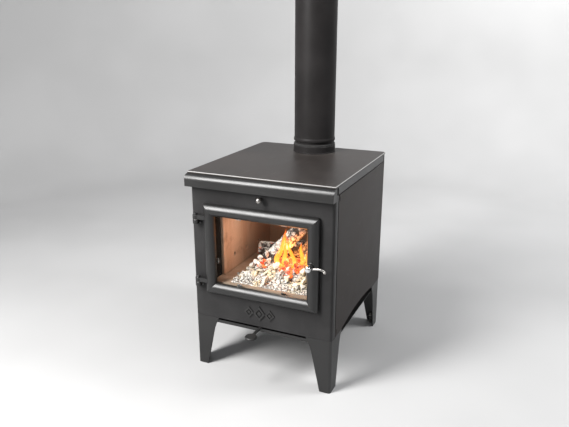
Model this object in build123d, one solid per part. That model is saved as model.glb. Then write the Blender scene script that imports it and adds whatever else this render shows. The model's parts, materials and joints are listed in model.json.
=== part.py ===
from build123d import *
import os
from math import cos, radians, sin

# Wood burning stove with a hob plate, four legs and a glazed door hinged on the left.
# Millimetres. X runs to the viewer's right, Y from front to back, Z up from the floor.
# Depths are written from the face of the front panel; save() then moves every piece
# forward, so that the origin is the middle of the footprint on the floor.

# Driving dimensions
body_width = 500.0
body_depth = 556.0
lever_reach = 88.0        # how far the air lever's knob stands in front of the body
hob_top = 703.5
hob_thickness = 6.0
hob_width = 510.0
hob_front = -11.0
hob_back = 553.0
casing_bottom = 191.0
casing_wall = 5.0
fold_radius = 9.0
leg_wall = 4.0
flue_diameter = 150.0
flue_depth = 470.0        # flue axis, behind the front panel
flue_length = 600.0
door_width = 404.0
door_bottom = 287.0
door_top = 601.5
door_middle = 4.5         # the door stands this far right of the body's middle
door_rail = 40.0          # width of the half-round door section
brick = 25.0
firebox_half = 201.0      # inside of the steel firebox, each side of the middle
firebox_floor = 292.0
fire_floor = 317.0        # top of the base bricks
brick_top = 598.0

half = body_width / 2
hob_under = hob_top - hob_thickness
origin_depth = (body_depth - lever_reach) / 2
door_half = door_width / 2
opening_half = door_half - 13
opening_bottom = door_bottom + 13
opening_top = door_top - 13
window_half = door_half - door_rail
window_bottom = door_bottom + door_rail
window_top = door_top - door_rail
firebox_back = 544.0
brick_front = 74.0
brick_back = 474.0
door_back = -2.0
door_crown = -25.0
sill_top = 322.0
latch_x, latch_z = door_half - door_rail / 2, 450.0     # from the door's middle
hinge_x, hinge_y = -226.0, -15.0
hinge_radius = 10.5
hinge_height = 15.0       # of the knuckle and of the lug
knob_x, knob_z = 8.0, 636.0
pivot_x, pivot_depth = -3.0, 150.0
back_sheet = 552.5
foot_screw = (-229.0, 18.0)
running = 0.08            # radial clearance of a running fit

os.makedirs("parts", exist_ok=True)


def block(x0, x1, y0, y1, z0, z1):
    """Box between two corners."""
    return Pos((x0 + x1) / 2, (y0 + y1) / 2, (z0 + z1) / 2) * Box(x1 - x0, y1 - y0, z1 - z0)


def post(x, y, z0, z1, r):
    """Upright cylinder."""
    return Pos(x, y, (z0 + z1) / 2) * Cylinder(r, z1 - z0)


def rod(x, z, y0, y1, r):
    """Cylinder that runs from front to back."""
    return Pos(x, (y0 + y1) / 2, z) * Rot(90, 0, 0) * Cylinder(r, y1 - y0)


def cross_rod(y, z, x0, x1, r):
    """Cylinder that runs from left to right."""
    return Pos((x0 + x1) / 2, y, z) * Rot(0, 90, 0) * Cylinder(r, x1 - x0)


def front_outline(points, y0, y1):
    """Polygon of X, Z points, given a thickness from y0 back to y1."""
    face = make_face(Polyline(*[(x, y0, z) for x, z in points], close=True))
    return extrude(face, y1 - y0, dir=(0, 1, 0))


def turned(points, x, y):
    """Ring turned about the upright axis at x, y from a closed outline of radius, Z points."""
    face = make_face(Polyline(*[(r, 0, z) for r, z in points], close=True))
    return Pos(x, y, 0) * revolve(face, Axis.Z)


def save(name, *solids):
    """Write one node, moved so that the origin is the middle of the footprint."""
    pieces = [Pos(0, -origin_depth, 0) * s for solid in solids for s in solid.solids()]
    shape = pieces[0] if len(pieces) == 1 else Compound(children=pieces)
    shape.label = name
    export_step(shape, f"parts/{name}.step")


def both_sides(solid):
    """The left piece and its mirror image on the right."""
    return solid, mirror(solid, Plane.YZ)


def on_door(*solids):
    """Pieces drawn about the door's middle line, moved to where the door hangs."""
    return [Pos(door_middle, 0, 0) * solid for solid in solids]


# ---------------------------------------------------------------- casing

def front_panel():
    """Folded front with rounded upright corners, door opening and airwash rod hole."""
    outer = block(-half, half, 0, 40, casing_bottom, hob_under - 0.5)
    front = outer.edges().filter_by(Axis.Z).group_by(Axis.Y)[0]
    outer = fillet(front, fold_radius)
    wall = half - casing_wall
    inner = block(-wall, wall, casing_wall, 60, casing_bottom - 1, hob_under + 1)
    front = inner.edges().filter_by(Axis.Z).group_by(Axis.Y)[0]
    inner = fillet(front, fold_radius - casing_wall)
    panel = outer - inner - block(-half - 1, half + 1, 19, 41, casing_bottom - 1, hob_top)
    x0, x1 = door_middle - opening_half, door_middle + opening_half
    panel -= block(x0, x1, -1, 20, opening_bottom, opening_top)
    return panel - rod(knob_x, knob_z, -1, 10, 4 + running)


def corner_post():
    """Folded post behind the front panel's left return, which carries the side panel."""
    bottom, top = casing_bottom, 668
    tube = block(-half + 1, -half + 11, 20, 33.5, bottom, top)
    return tube - block(-half + 3, -half + 12, 22, 31.5, bottom - 1, top + 1)


def side_panel():
    """Left side sheet with folded front and back edges, an arched lower edge and hook slots."""
    y0, y1, top, sheet = 34.5, 552.5, 667.0, 2.0
    skin = block(-half, -half + sheet, y0, y1, casing_bottom, top)
    arch = Line((-half - 1, 100, casing_bottom), (-half - 1, 470, casing_bottom))
    bow = ThreePointArc((-half - 1, 470, casing_bottom), (-half - 1, 290, casing_bottom + 16),
                        (-half - 1, 100, casing_bottom))
    skin -= extrude(make_face([arch, bow]), 4, dir=(1, 0, 0))
    for depth in (y0, y1 - sheet):
        skin += block(-half + sheet, -half + 12, depth, depth + sheet, casing_bottom + 6, top)
    for z in (199, 645):
        skin -= block(-half - 1, -half + sheet + 1, y0 + 8, y0 + 12, z, z + 16)
    return skin - block(-half - 1, -half + 13, y0 - 1, y0 + 3.5, top - 16, top + 1)


def back_panel():
    """Rear sheet with two banks of convection louvres."""
    sheet = block(-half + 1, half - 1, back_sheet, back_sheet + 2, casing_bottom, 690)
    for row in range(6):
        for z0 in (250, 560):
            z = z0 + 16 * row
            for x in (-150, 0, 150):
                sheet -= block(x - 60, x + 60, back_sheet - 1, body_depth, z, z + 6)
    for x, z in back_screw_places():
        sheet -= rod(x, z, back_sheet - 1, body_depth, 2.5)
    return sheet


def back_screw_places():
    """Screw positions of the rear sheet, as X, Z."""
    return [(x, z) for x in (-190, 190) for z in (225, 450, 675)]


def back_spacers():
    """Sleeves that hold the rear sheet off the firebox."""
    y0 = firebox_back + casing_wall
    return [rod(x, z, y0, back_sheet, 6) - rod(x, z, y0 - 1, back_sheet + 1, 2.5)
            for x, z in back_screw_places()]


def back_screws():
    """Flat-headed screws of the rear sheet."""
    y0 = firebox_back + casing_wall
    return [rod(x, z, y0, back_sheet + 2, 2.5) + rod(x, z, back_sheet + 2, body_depth, 5)
            for x, z in back_screw_places()]


def leg(front=True):
    """Left leg: a folded angle, tapered on both flanges and flared where it meets the casing."""
    top = casing_bottom - 0.5
    reach = 100
    outer = block(-half, -half + reach, 0, reach + 20, 0, top)
    corner = outer.edges().filter_by(Axis.Z).sort_by(lambda e: e.center().X + e.center().Y)[0]
    outer = fillet(corner, fold_radius)
    inner = block(-half + leg_wall, 0, leg_wall, reach + 40, -1, top + 1)
    corner = inner.edges().filter_by(Axis.Z).sort_by(lambda e: e.center().X + e.center().Y)[0]
    inner = fillet(corner, fold_radius - leg_wall)
    angle = outer - inner
    # front flange: straight taper, then an arc that flares out to the casing
    foot, knee, flare = (-211.5, 0), (-181.5, 138), (-160, top)
    edge = Line((*foot[:1], 0, foot[1]), (knee[0], 0, knee[1]))
    arc = TangentArc((knee[0], 0, knee[1]), (flare[0], 0, flare[1]), tangent=edge % 1)
    rest = Polyline((flare[0], 0, flare[1]), (flare[0], 0, top + 5), (-100, 0, top + 5),
                    (-100, 0, -5), (foot[0], 0, -5), (foot[0], 0, foot[1]))
    cut = extrude(make_face([edge, arc, *rest.edges()]), leg_wall + 1, dir=(0, 1, 0))
    angle -= Pos(0, -0.5, 0) * cut
    # side flange, narrower at the floor
    foot, knee, flare = (52, 0), (77, 138), (100, top)
    x = -half - 1
    edge = Line((x, foot[0], 0), (x, knee[0], knee[1]))
    arc = TangentArc((x, knee[0], knee[1]), (x, flare[0], flare[1]), tangent=edge % 1)
    rest = Polyline((x, flare[0], flare[1]), (x, flare[0], top + 5), (x, 150, top + 5),
                    (x, 150, -5), (x, foot[0], -5), (x, foot[0], 0))
    cut = extrude(make_face([edge, arc, *rest.edges()]), leg_wall + 1.5, dir=(1, 0, 0))
    angle -= cut
    if front:
        return angle
    return Pos(0, body_depth, 0) * mirror(angle, Plane.XZ)


def foot_tab(front=True):
    """Tab welded inside the foot of the left leg, drilled for the levelling screw."""
    tab = block(-half + leg_wall + 0.3, -217, leg_wall, 28, 24, 28)
    tab = fillet(tab.edges().filter_by(Axis.Z), 6)
    tab -= post(*foot_screw, 20, 40, 4)
    return tab if front else Pos(0, body_depth, 0) * mirror(tab, Plane.XZ)


def levelling_screw(front=True):
    """Left levelling screw with its hexagon head just clear of the floor."""
    x, y = foot_screw
    head = Pos(x, y, 1) * extrude(RegularPolygon(7.5, 6), 6)
    screw = head + post(x, y, 6, 40, 4)
    nut = Pos(x, y, 28) * extrude(RegularPolygon(7.5, 6), 6) - post(x, y, 27, 37, 4)
    pieces = [screw, nut]
    return pieces if front else [Pos(0, body_depth, 0) * mirror(p, Plane.XZ) for p in pieces]


def damper_hole(angle, radius=80, r=14, z0=160, z1=185):
    """Round air hole on an arc about the air lever's pivot."""
    x = pivot_x + radius * sin(radians(angle))
    y = pivot_depth + radius * cos(radians(angle))
    return post(x, y, z0, z1, r)


def base_plate():
    """Bottom plate with a raised front lip and the three primary air holes."""
    x, y0, y1 = half - leg_wall - 0.3, leg_wall + 0.3, body_depth - leg_wall - 0.3
    plate = block(-x, x, y0, y1, 171, 173)
    plate = fillet(plate.edges().filter_by(Axis.Z), fold_radius)
    plate += block(-x + fold_radius, x - fold_radius, y0, y0 + 2, 173, 182)
    for angle in (-28, 0, 28):
        plate -= damper_hole(angle)
    return plate - post(pivot_x, pivot_depth, 160, 180, 5)


# ---------------------------------------------------------------- top

def hob_plate():
    """Hob with an eased top edge, rounded rear corners and the flue outlet."""
    x = hob_width / 2
    plate = block(-x, x, hob_front, hob_back, hob_under, hob_top)
    upright = plate.edges().filter_by(Axis.Z).group_by(Axis.Y)
    plate = fillet(upright[-1], 18)
    upright = plate.edges().filter_by(Axis.Z).group_by(Axis.Y)
    plate = fillet(upright[0], 3)
    plate = fillet(plate.faces().sort_by(Axis.Z)[-1].edges(), 1.5)
    return plate - post(0, flue_depth, hob_under - 1, hob_top + 1, 70)


def front_rail():
    """Hollow folded rail under the hob's front edge, with a broad bullnose top."""
    x, face, bottom, top = hob_width / 2, -28.5, 657.0, hob_under - 1
    nose_radius, wall = 17.0, 3.0
    bar = block(-x, x, face, -0.2, bottom, top)
    nose = bar.edges().filter_by(Axis.X).filter_by(lambda e: e.center().Y < face + 1)
    bar = fillet(nose.sort_by(Axis.Z)[-1], nose_radius)
    core = block(-x + wall, x - wall, face + wall, 5, bottom + wall, top - wall)
    nose = core.edges().filter_by(Axis.X).filter_by(lambda e: e.center().Y < face + wall + 1)
    return bar - fillet(nose.sort_by(Axis.Z)[-1], nose_radius - wall)


def hob_bearer():
    """Left angle that carries the hob, just above and a little inside the side sheet."""
    face, wall, y0, y1 = -half + 2, 3.0, 34.5, 549
    upright = block(face, face + wall, y0, y1, 668, hob_under)
    return upright + block(face + wall, -firebox_half - casing_wall, y0, y1, hob_under - wall, hob_under)


def flue_collar():
    """Turned collar that stands on the hob around the outlet."""
    inner = flue_diameter / 2 - 1.6
    z = hob_top
    return turned([(inner, z), (79, z), (79, z + 2.5), (78, z + 4), (78, z + 24), (76.5, z + 26),
                   (inner, z + 26)], 0, flue_depth)


def flue_rope():
    """Sealing rope between the collar and the pipe's spigot."""
    return turned([(71.7, hob_top + 26.1), (77, hob_top + 26.1), (77, hob_top + 30),
                   (75.5, hob_top + 32.5), (71.7, hob_top + 32.5)], 0, flue_depth)


def flue_pipe():
    """Pipe length with a reduced spigot and a rolled bead at its lower end."""
    r, wall = flue_diameter / 2, 2.0
    neck = 71.5
    seat, bead = hob_top + 1, hob_top + 39.5
    top = bead + flue_length
    outer = [(neck, seat), (neck, bead), (r + 0.8, bead + 1.5), (r + 2, bead + 4.5),
             (r + 2, bead + 9), (r + 0.8, bead + 12.5), (r, bead + 15), (r, top)]
    inner = [(r - wall, top), (r - wall, bead + 15), (neck - wall, bead + 6),
             (neck - wall, seat)]
    return turned(outer + inner, 0, flue_depth)


# ---------------------------------------------------------------- firebox

def firebox_side():
    """Left steel wall of the firebox and the air box below it."""
    x = -firebox_half
    return block(x - casing_wall, x, casing_wall + 1.5, firebox_back, 173, hob_under)


def firebox_back_wall():
    x = firebox_half + casing_wall
    return block(-x, x, firebox_back, firebox_back + casing_wall, 173, hob_under)


def firebox_floor_plate():
    """Floor of the firebox, with the air passage below the grate."""
    x = firebox_half - 0.2
    plate = block(-x, x, 73.2, firebox_back, firebox_floor - 5, firebox_floor)
    return plate - block(-60, 60, 170, 330, 280, 300)


def throat_side():
    """Left cheek of the passage between the door opening and the bricks."""
    x = -opening_half
    return block(x - 5, x, 18, 73, opening_bottom, opening_top)


def throat_sill():
    x = opening_half + 5
    return block(-x, x, casing_wall, 73, opening_bottom - 5, opening_bottom)


def throat_lintel():
    """Upper plate of the passage, slotted behind the glass for the airwash."""
    x = opening_half + 5
    plate = block(-x, x, casing_wall, 73, opening_top, opening_top + 4)
    return plate - block(-170, 170, 8, 16, opening_top - 1, opening_top + 5)


def airwash_box():
    """Upright partition that closes the airwash chamber above the door."""
    x = firebox_half - 0.2
    plate = block(-x, x, 48, 51, opening_top + 4, hob_under - 0.2)
    for px in (-120, -72, -24, 24, 72, 120):
        plate -= rod(px, knob_z, 45, 55, 11)
    return plate


def sill_brick():
    """Narrow brick behind the glass that holds back the fire bed."""
    x = opening_half - 0.5
    bar = block(-x, x, 9, 73.5, opening_bottom, sill_top)
    return chamfer(bar.edges().filter_by(Axis.X).group_by(Axis.Z)[-1], 3)


def side_brick():
    """Left lining slab with its row of air jets."""
    x = -firebox_half + 1
    slab = block(x, x + brick, brick_front, brick_back, fire_floor, brick_top)
    slab = chamfer(slab.edges().filter_by(Axis.Z).group_by(Axis.X)[-1], 2)
    for y, z in ((149, 374), (242, 367), (336, 360)):
        slab -= cross_rod(y, z, x - 1, x + brick + 1, 7)
    return slab


def back_brick():
    x = firebox_half - 1 - brick - 0.3
    slab = block(-x, x, brick_back - 30, brick_back, fire_floor, brick_top)
    return chamfer(slab.edges().filter_by(Axis.X).group_by(Axis.Z)[-1], 3)


def base_bricks():
    """Four slabs around the grate."""
    x = firebox_half - 1
    return [block(-x, -71, brick_front, brick_back, firebox_floor, fire_floor),
            block(71, x, brick_front, brick_back, firebox_floor, fire_floor),
            block(-70.5, 70.5, brick_front, 149, firebox_floor, fire_floor),
            block(-70.5, 70.5, 351, brick_back, firebox_floor, fire_floor)]


def grate():
    """Slotted cast grate on a shallow skirt."""
    cast = block(-70.2, 70.2, 149.5, 350.5, firebox_floor, fire_floor)
    cast -= block(-62, 62, 158, 342, firebox_floor - 1, fire_floor - 12)
    for row in range(11):
        y = 168 + 16.4 * row
        for x in (-30, 30):
            cast -= block(x - 26, x + 26, y, y + 7, firebox_floor, fire_floor + 1)
    return cast


def baffle():
    """Slab that rests on the bricks and turns the smoke forward."""
    x = firebox_half - 1.5
    slab = block(-x, x, 165, firebox_back - 1, brick_top, brick_top + 20)
    return chamfer(slab.edges().filter_by(Axis.X).group_by(Axis.Y)[0], 4)


# ---------------------------------------------------------------- door

def half_round(length):
    """Door section: square at the back and half round in front, from 0 to door_rail along X."""
    shoulder = -9.0
    back = Polyline((0, shoulder), (0, door_back), (door_rail, door_back), (door_rail, shoulder))
    crown = ThreePointArc((door_rail, shoulder), (door_rail / 2, door_crown), (0, shoulder))
    bar = extrude(make_face([*back.edges(), crown]), length)
    return Pos(0, 0, -length / 2) * bar


def mitred(bar, outer_half, middle_z, half_height, turn):
    """One side of the frame: the bar cut to a trapezium between the outer and inner corners."""
    x, z = outer_half, half_height
    corners = [(-x, z), (x, z), (x - door_rail, z - door_rail), (door_rail - x, z - door_rail)]
    piece = bar & front_outline(corners, door_crown - 1, 1)
    return Pos(0, 0, middle_z) * Rot(0, turn, 0) * piece


def door_frame():
    """Half-round section, mitred at the corners, rebated for the glass and grooved for the rope."""
    middle_z, tall = (door_bottom + door_top) / 2, (door_top - door_bottom) / 2
    frame = None
    for turn, long_half, reach in ((0, door_half, tall), (90, tall, door_half),
                                   (180, door_half, tall), (270, tall, door_half)):
        bar = Rot(0, 90, 0) * half_round(2 * long_half + 2)
        bar = Pos(0, 0, reach) * bar
        side = mitred(bar, long_half, middle_z, reach, turn)
        frame = side if frame is None else frame + side
    outline = block(-door_half, door_half, door_crown - 1, 1, door_bottom, door_top)
    frame &= fillet(outline.edges().filter_by(Axis.Y), 8)
    rebate = 8
    frame -= block(-window_half - rebate, window_half + rebate, -7, 1,
                   window_bottom - rebate, window_top + rebate)
    x0, x1 = door_half - 10, door_half - 3
    ring = block(-x1, x1, -8, 1, door_bottom + 3, door_top - 3)
    ring -= block(-x0, x0, -9, 2, door_bottom + 10, door_top - 10)
    frame -= ring
    frame -= rod(latch_x, latch_z, door_crown - 1, 0, 6)
    for x, z in clip_places():
        frame -= rod(x, z, -12, 0, 2)
    return frame


def clip_places():
    """Screw positions of the glass clips, as X, Z."""
    side, low, high = window_half + 11.5, window_bottom - 11.5, window_top + 11.5
    middle = (window_bottom + window_top) / 2 - 40
    return [(-side, middle), (side, middle), (-80, low), (80, low), (-80, high), (80, high)]


def door_glass():
    grow = 6
    pane = block(-window_half - grow, window_half + grow, -6, -2,
                 window_bottom - grow, window_top + grow)
    return chamfer(pane.faces().sort_by(Axis.Y)[0].edges(), 0.5)


def glass_tape():
    """Flat seal between the glass and the rebate."""
    grow = 6
    tape = block(-window_half - grow, window_half + grow, -7, -6,
                 window_bottom - grow, window_top + grow)
    return tape - block(-window_half - 1, window_half + 1, -8, -5, window_bottom - 1, window_top + 1)


def glass_clips():
    """Small plates, one screw each, that hold the pane in its rebate."""
    clips = []
    for x, z in clip_places():
        if abs(x) > window_half:
            s = 1 if x > 0 else -1
            ends = sorted((x - 17 * s, x + 4.5 * s))
            plate = block(ends[0], ends[1], -2, -0.5, z - 9, z + 9)
        else:
            s = 1 if z > latch_z - 10 else -1
            ends = sorted((z - 17 * s, z + 4.5 * s))
            plate = block(x - 9, x + 9, -2, -0.5, ends[0], ends[1])
        clips.append(plate - rod(x, z, -3, 1, 2))
    return clips


def clip_screws():
    """Pan-head screws of the glass clips."""
    return [rod(x, z, -11, -0.5, 2) + rod(x, z, -0.5, 1.5, 3.5) for x, z in clip_places()]


def door_rope():
    """Sealing rope in the frame's groove, standing up to the front panel."""
    mid, r = door_half - 6.5, 3.4
    low, high = door_bottom + 6.5, door_top - 6.5
    ring = block(-mid - r, mid + r, -7.9, -0.3, low - r, high + r)
    ring -= block(-mid + r, mid - r, -9, 1, low + r, high - r)
    front = ring.faces().sort_by(Axis.Y)[-1]
    return fillet(front.edges(), 2.5)


def door_lug(z, frame):
    """Hinge lug on the door's left stile, cut to the stile's curve, with the pin's bore."""
    x, y, r, top = hinge_x, hinge_y, hinge_radius, z + hinge_height
    lug = post(x, y, z, top, r) + block(x, door_middle - door_half + 16, y - 7, y + 6, z, top)
    lug = lug - post(x, y, z - 1, top + 1, 4.5 + running)
    lug = (lug - frame).solids().sort_by(lambda s: s.volume)[-1]
    rim = lug.edges().filter_by(GeomType.CIRCLE).filter_by(lambda e: e.radius > r - 1)
    return chamfer(rim.sort_by(Axis.Z)[-1], 1.2)


def hinge_bracket(z):
    """Knuckle welded to the front panel below the door's lug."""
    x, y, r, top = hinge_x, hinge_y, hinge_radius, z + hinge_height
    knuckle = post(x, y, z, top, r)
    knuckle = chamfer(knuckle.edges().filter_by(GeomType.CIRCLE), 1.5)
    web = block(x - 6, x + 6, y, -3, z + 1, top - 1)
    plate = block(x - 12, x + 12, -3, 0, z - 2, top + 2)
    return knuckle + web + plate - post(x, y, z - 1, top + 1, 4.5)


def hinge_washer(z):
    return post(hinge_x, hinge_y, z, z + 1.5, 8) - post(hinge_x, hinge_y, z - 1, z + 3, 4.5)


def hinge_pin(z):
    """Pin with a low domed head above the lug."""
    head = z + 2 * hinge_height + 2 + 0.6
    pin = post(hinge_x, hinge_y, z - 1, head, 4.5)
    dome = fillet(post(hinge_x, hinge_y, head, head + 4, 6.5).faces().sort_by(Axis.Z)[-1].edges(), 3)
    return pin + dome


# ---------------------------------------------------------------- latch

def latch_bush():
    """Flanged bush through the right stile."""
    bush = rod(latch_x, latch_z, door_crown, -1, 6) + rod(latch_x, latch_z, -1, 7.3, 5.4)
    bush += rod(latch_x, latch_z, door_crown - 3, door_crown, 12)
    edge = bush.faces().sort_by(Axis.Y)[0].edges()
    return fillet(edge, 2) - rod(latch_x, latch_z, -30, 10, 4.2 + running)


def latch_spindle():
    return rod(latch_x, latch_z, -44, 16.5, 4.2)


def door_handle():
    """S-shaped lever bent from round bar, with a hub behind the barrel and a rounded tip."""
    x, y, z = latch_x, -36.0, latch_z
    path = Spline((x, y, z - 2), (x + 16, y, z - 3), (x + 32, y, z - 1), (x + 48, y, z - 9))
    bar = sweep(Plane(path @ 0, z_dir=path % 0) * Circle(3.8), path=path)
    lever = rod(x, z, -40, -32, 8) + bar + Pos(path @ 1) * Sphere(4.6)
    return lever - rod(x, z, -41, -31, 4.2)


def handle_knob():
    """Polished barrel on the spindle's front end."""
    knob = rod(latch_x, latch_z, -60, -40, 10)
    knob = fillet(knob.faces().sort_by(Axis.Y)[0].edges(), 6)
    knob = fillet(knob.faces().sort_by(Axis.Y)[-1].edges(), 2)
    return knob - rod(latch_x, latch_z, -44, -39, 4.2)


def latch_tongue():
    """Plate on the spindle's inner end, upright while the handle lies level."""
    x, z, width, reach = latch_x, latch_z, 7.0, 18.0
    plate = rod(x, z, 7.5, 12.5, 6.8) + block(x - width / 2, x + width / 2, 7.5, 12.5, z, z + reach)
    return plate - rod(x, z, 7, 13, 4.2)


def latch_nut():
    nut = extrude(RegularPolygon(7, 6), 4)
    return Pos(latch_x, 16.5, latch_z) * Rot(90, 0, 0) * nut - rod(latch_x, latch_z, 10, 18, 4.2)


def latch_keeper():
    """Wear plate behind the opening's right edge, which the tongue slides behind."""
    keeper = block(opening_half, opening_half + 7, casing_wall, 7.2, latch_z + 4, latch_z + 26)
    return chamfer(keeper.edges().filter_by(Axis.Z).sort_by(lambda e: e.center().Y - e.center().X)[-1], 1)


# ---------------------------------------------------------------- air controls

def airwash_knob():
    """Round knob with a short neck."""
    ball = Pos(knob_x, -20, knob_z) * Sphere(9.5)
    neck = rod(knob_x, knob_z, -12, -6, 6)
    return ball + neck - rod(knob_x, knob_z, -12, -5, 4)


def airwash_rod():
    return rod(knob_x, knob_z, -12, 44, 4)


def airwash_guide():
    """Sleeve behind the front panel that the rod slides in."""
    sleeve = rod(knob_x, knob_z, casing_wall, 18, 9)
    return sleeve - rod(knob_x, knob_z, 0, 20, 4 + running)


def airwash_shutter():
    """Strip that covers the partition's air holes when the knob is in."""
    strip = block(-150, 150, 44, 46.5, knob_z - 16, knob_z + 16)
    ends = strip.edges().filter_by(Axis.Y)
    return fillet(ends, 6)


def air_lever():
    """Flat bar from the knob, through the slot, to the pivot and on to the damper."""
    x, z0, z1 = pivot_x, 184.0, 189.0
    bar = block(x - 4.5, x + 4.5, -60, pivot_depth + 92, z0, z1)
    bar += post(x, pivot_depth, z0, z1, 13)
    return bar - post(x, pivot_depth, z0 - 1, z1 + 1, 5 + running)


def air_lever_knob():
    """Flat round knob at the lever's outer end."""
    z, r = 183.5, 20.0
    disc = post(pivot_x, r - lever_reach, z, z + 7, r)
    disc = fillet(disc.faces().sort_by(Axis.Z)[-1].edges(), 4)
    disc = fillet(disc.faces().sort_by(Axis.Z)[0].edges(), 1.5)
    return disc - block(pivot_x - 4.5, pivot_x + 4.5, -60, 0, 184, 189)


def lever_pivot():
    """Shouldered stud and its retaining head."""
    x, y = pivot_x, pivot_depth
    stud = post(x, y, 171, 173, 5) + post(x, y, 173, 183.7, 9) + post(x, y, 183.7, 195, 5)
    return stud + post(x, y, 189.3, 193, 9)


def air_damper():
    """Sector plate over the air holes, hung from the lever's tail."""
    x, y = pivot_x, pivot_depth
    ring = post(x, y, 173.3, 175.3, 102) - post(x, y, 170, 180, 56)
    wedge = [(x, y), (x - 240, y + 130), (x - 240, y + 300), (x + 240, y + 300), (x + 240, y + 130)]
    plate = ring & extrude(make_face(Polyline(*[(px, py, 170) for px, py in wedge], close=True)), 10)
    for angle in (-28, 0, 28):
        plate -= damper_hole(angle)
    for y0 in (58, 95):
        plate += block(x - 4.5, x + 4.5, y + y0, y + y0 + 6, 175.3, 184)
    return plate


# ---------------------------------------------------------------- ornament

def front_ornament():
    """Three raised lozenges, the middle one larger, each a ring around a small core."""
    pieces = []
    for x, w, h in ((-42, 17, 19), (-4, 21, 26), (34, 17, 19)):
        def lozenge(k):
            cx, cz = x, 240
            return [(cx - k * w, cz), (cx, cz - k * h), (cx + k * w, cz), (cx, cz + k * h)]
        pieces.append(front_outline(lozenge(1), -4, 0) - front_outline(lozenge(0.62), -5, 1))
        pieces.append(front_outline(lozenge(0.38), -4, 0))
    return pieces


# ---------------------------------------------------------------- the nodes

def main():
    save("front_panel", front_panel())
    for name, piece in (("side_panel", side_panel()), ("side_brick", side_brick())):
        for side, solid in zip(("left", "right"), both_sides(piece)):
            save(f"{name}_{side}", solid)
    save("corner_posts", *both_sides(corner_post()))
    save("hob_bearers", *both_sides(hob_bearer()))
    save("firebox_walls", *both_sides(firebox_side()))
    save("throat_cheeks", *on_door(*both_sides(throat_side())))
    save("throat_plates", *on_door(throat_sill(), throat_lintel()))
    screws = []
    for end in ("front", "rear"):
        front = end == "front"
        for side, piece in zip(("left", "right"), both_sides(leg(front))):
            save(f"leg_{end}_{side}", piece)
        for piece in levelling_screw(front):
            screws.extend(both_sides(piece))
    save("levelling_screws", *screws)
    save("foot_tabs", *both_sides(foot_tab()), *both_sides(foot_tab(False)))
    save("back_panel", back_panel())
    save("back_panel_spacers", *back_spacers())
    save("back_panel_screws", *back_screws())
    save("base_plate", base_plate())
    save("hob_plate", hob_plate())
    save("front_rail", front_rail())
    save("flue_collar", flue_collar())
    save("flue_rope", flue_rope())
    save("flue_pipe", flue_pipe())
    save("firebox_back_wall", firebox_back_wall())
    save("firebox_floor", firebox_floor_plate())
    save("airwash_partition", airwash_box())
    save("sill_brick", *on_door(sill_brick()))
    save("back_brick", back_brick())
    save("base_bricks", *base_bricks())
    save("fire_grate", grate())
    save("baffle_plate", baffle())
    [frame] = on_door(door_frame())
    save("door_frame", frame)
    save("door_glass", *on_door(door_glass()))
    save("glass_tape", *on_door(glass_tape()))
    save("glass_clips", *on_door(*glass_clips()))
    save("clip_screws", *on_door(*clip_screws()))
    save("door_rope", *on_door(door_rope()))
    levels = (530, 308)
    save("door_lugs", *[door_lug(z + hinge_height + 2, frame) for z in levels])
    save("hinge_brackets", *[hinge_bracket(z) for z in levels])
    save("hinge_washers", *[hinge_washer(z + hinge_height) for z in levels])
    save("hinge_pins", *[hinge_pin(z) for z in levels])
    save("latch_bush", *on_door(latch_bush()))
    save("latch_spindle", *on_door(latch_spindle()))
    save("door_handle", *on_door(door_handle()))
    save("handle_knob", *on_door(handle_knob()))
    save("latch_tongue", *on_door(latch_tongue()))
    save("latch_nut", *on_door(latch_nut()))
    save("latch_keeper", *on_door(latch_keeper()))
    save("airwash_knob", airwash_knob())
    save("airwash_rod", airwash_rod())
    save("airwash_guide", airwash_guide())
    save("airwash_shutter", airwash_shutter())
    save("air_lever", air_lever())
    save("air_lever_knob", air_lever_knob())
    save("lever_pivot", lever_pivot())
    save("air_damper", air_damper())
    save("front_ornament", *front_ornament())


main()
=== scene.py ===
import json
import math
import random

import bmesh
import bpy
from mathutils import Matrix, Vector, noise


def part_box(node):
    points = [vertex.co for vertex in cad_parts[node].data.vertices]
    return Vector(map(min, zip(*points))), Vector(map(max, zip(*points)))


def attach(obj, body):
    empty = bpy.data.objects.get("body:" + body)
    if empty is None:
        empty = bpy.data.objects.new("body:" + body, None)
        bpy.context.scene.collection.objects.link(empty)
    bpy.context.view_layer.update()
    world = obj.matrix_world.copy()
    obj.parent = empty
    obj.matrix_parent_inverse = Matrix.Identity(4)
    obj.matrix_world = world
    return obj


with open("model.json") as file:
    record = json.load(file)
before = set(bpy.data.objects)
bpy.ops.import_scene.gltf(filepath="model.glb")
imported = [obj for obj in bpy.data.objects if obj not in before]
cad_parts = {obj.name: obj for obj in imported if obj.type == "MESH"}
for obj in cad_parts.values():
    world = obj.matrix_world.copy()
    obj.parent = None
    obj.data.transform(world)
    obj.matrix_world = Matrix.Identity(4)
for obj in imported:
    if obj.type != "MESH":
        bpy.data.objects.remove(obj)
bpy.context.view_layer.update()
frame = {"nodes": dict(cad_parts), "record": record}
nodes = frame["nodes"]
scene = bpy.context.scene
print("stage: frame loaded,", len(nodes), "nodes")


# ---- shader helpers: a wire is a socket, and sums on wires add their Math nodes

class Wire:
    def __init__(self, finish, out):
        self.finish, self.out = finish, out

    def sum(self, operation, a, b):
        return self.finish.node("ShaderNodeMath", {"operation": operation}, {0: a, 1: b})

    def __add__(self, other):
        return self.sum("ADD", self, other)

    def __radd__(self, other):
        return self.sum("ADD", other, self)

    def __sub__(self, other):
        return self.sum("SUBTRACT", self, other)

    def __rsub__(self, other):
        return self.sum("SUBTRACT", other, self)

    def __mul__(self, other):
        return self.sum("MULTIPLY", self, other)

    def __rmul__(self, other):
        return self.sum("MULTIPLY", other, self)

    def __pow__(self, other):
        return self.sum("POWER", self, other)


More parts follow.
